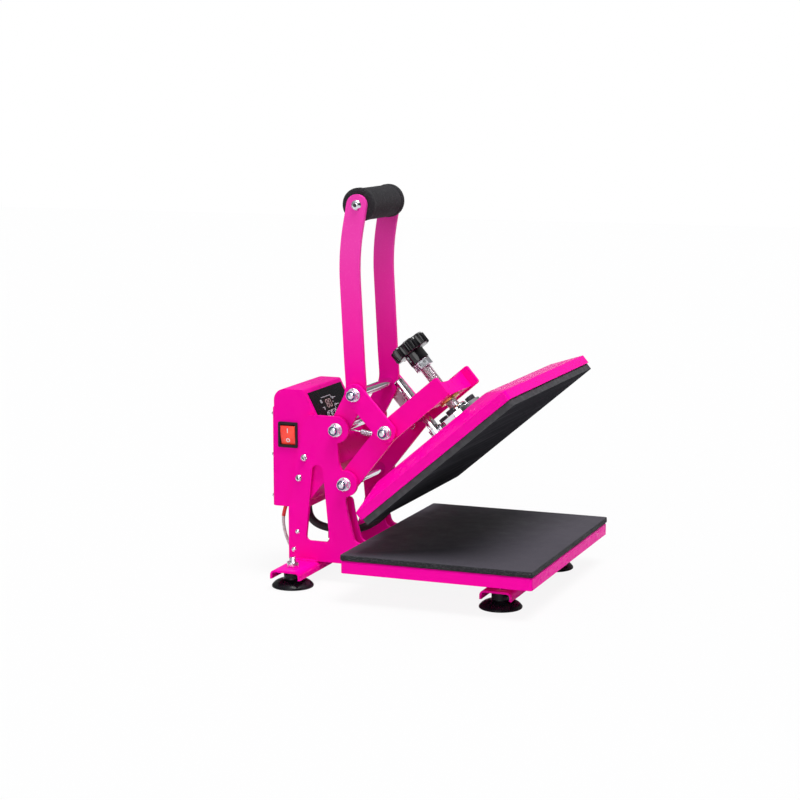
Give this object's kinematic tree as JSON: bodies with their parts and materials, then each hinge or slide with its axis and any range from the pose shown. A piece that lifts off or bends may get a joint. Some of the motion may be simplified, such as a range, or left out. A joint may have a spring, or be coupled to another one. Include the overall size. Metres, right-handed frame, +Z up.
{
  "type": "clamshell heat press",
  "caption": "Clamshell heat press with a hinged heated platen, toggle handle, pressure screw, control box and a padded lower platen on suction feet.",
  "frame": {"origin": "centre of the whole model's bounding box in plan, on the bench surface under the cups", "axes": "+Z up, front (open side of the jaw) towards -Y, control box towards +Y, +X to the right of a person who stands at the front"},
  "size_m": [0.307, 0.358, 0.4655],
  "materials": {
    "magenta_paint": "gloss powder coat",
    "silicone_sponge": "matt",
    "black_rubber": "satin",
    "black_foam": "matt",
    "zinc_steel": "bright zinc",
    "black_steel": "black oxide",
    "brass": "machined",
    "black_plastic": "satin",
    "dark_lens": "gloss",
    "white_plastic": "satin",
    "red_plastic": "gloss",
    "glass_epoxy": "satin",
    "copper_braid": "tinned braid",
    "ceramic_wool": "matt",
    "cast_aluminium": "non-stick coat"
  },
  "bodies": {
    "base": {"base_tray": "magenta_paint", "lower_pad": "silicone_sponge", "front_channel": "magenta_paint", "rear_channel": "magenta_paint", "foot_cups": "black_rubber", "foot_studs": "zinc_steel", "left_upright": "magenta_paint", "right_upright": "magenta_paint", "inner_cheeks": "magenta_paint", "frame_rivets": "zinc_steel", "box_screws": "zinc_steel", "frame_pivot_bolts": "zinc_steel", "frame_pivot_fasteners": "zinc_steel", "frame_pivot_spacers": "zinc_steel", "control_box": "magenta_paint", "box_rear_cover": "magenta_paint", "display_panel": "black_plastic", "display_window": "dark_lens", "circuit_board": "glass_epoxy", "switch_housing": "black_plastic", "power_inlet": "black_plastic", "box_gland": "black_plastic", "heater_lead": "black_rubber", "earth_strap": "copper_braid", "opening_springs": "zinc_steel"},
    "arm": {"arm_left": "magenta_paint", "arm_right": "magenta_paint", "cross_channel": "magenta_paint", "screw_nut": "brass", "guide_plate": "magenta_paint", "guide_bush": "brass"},
    "platen": {"heater_cover": "magenta_paint", "heater_plate": "cast_aluminium", "insulation": "ceramic_wool", "stiffener_plate": "zinc_steel", "mount_plate": "magenta_paint", "bearing_flange": "zinc_steel", "flange_bolts": "black_steel", "guide_post": "zinc_steel", "platen_gland": "black_plastic"},
    "screw": {"pressure_screw": "zinc_steel", "jam_nut": "zinc_steel", "star_knob": "black_plastic"},
    "handle": {"handle_left": "magenta_paint", "handle_right": "magenta_paint", "grip_tube": "zinc_steel", "foam_grip": "black_foam", "grip_screws": "zinc_steel", "lever_bolt": "zinc_steel", "lever_bolt_fasteners": "zinc_steel", "lever_spacer": "zinc_steel"},
    "link": {"link_left": "magenta_paint", "link_right": "magenta_paint", "link_bolt": "zinc_steel", "link_bolt_fasteners": "zinc_steel"},
    "rocker": {"rocker": "red_plastic"},
    "button_1": {"button_1": "black_plastic"},
    "button_2": {"button_2": "black_plastic"},
    "button_3": {"button_3": "black_plastic"},
    "button_4": {"button_4": "black_plastic"}
  },
  "joints": [
    {"name": "arm_pivot", "type": "hinge", "parent": "base", "child": "arm", "pos_m": [0, 0.0815, 0.1192], "axis": [1, 0, 0], "range_deg": [0, 40.4], "deforming": ["heater_lead", "opening_springs"]},
    {"name": "handle_pivot", "type": "hinge", "parent": "base", "child": "handle", "pos_m": [0, 0.092, 0.183], "axis": [1, 0, 0], "range_deg": [0, 75.86]},
    {"name": "link_pivot", "type": "hinge", "parent": "handle", "child": "link", "pos_m": [0, 0.0692, 0.2257], "axis": [1, 0, 0], "range_deg": [-83.74, 0]},
    {"name": "platen_slide", "type": "slide", "parent": "arm", "child": "platen", "axis": [0, 0.6481, 0.7615], "range_m": [0, 0.008]},
    {"name": "screw_turn", "type": "hinge", "parent": "platen", "child": "screw", "pos_m": [0, -0.02968, 0.21383], "axis": [0, 0.6481, 0.7615], "range_deg": [0, 1440.2]},
    {"name": "rocker_tilt", "type": "hinge", "parent": "base", "child": "rocker", "pos_m": [-0.053, 0.156, 0.1725], "axis": [0, 1, 0], "range_deg": [0, 18]},
    {"name": "button_1_press", "type": "slide", "parent": "base", "child": "button_1", "axis": [0, 0.886, -0.4636], "range_m": [0, 0.0008], "stiffness_N_per_m": 400},
    {"name": "button_2_press", "type": "slide", "parent": "base", "child": "button_2", "axis": [0, 0.886, -0.4636], "range_m": [0, 0.0008], "stiffness_N_per_m": 400},
    {"name": "button_3_press", "type": "slide", "parent": "base", "child": "button_3", "axis": [0, 0.886, -0.4636], "range_m": [0, 0.0008], "stiffness_N_per_m": 400},
    {"name": "button_4_press", "type": "slide", "parent": "base", "child": "button_4", "axis": [0, 0.886, -0.4636], "range_m": [0, 0.0008], "stiffness_N_per_m": 400}
  ],
  "couplings": [
    {"joint": "handle_pivot", "follows": "arm_pivot", "ratio": 1.8775},
    {"joint": "link_pivot", "follows": "arm_pivot", "ratio": -2.0724},
    {"joint": "screw_turn", "follows": "platen_slide", "rad_per_m": 3141.6}
  ]
}
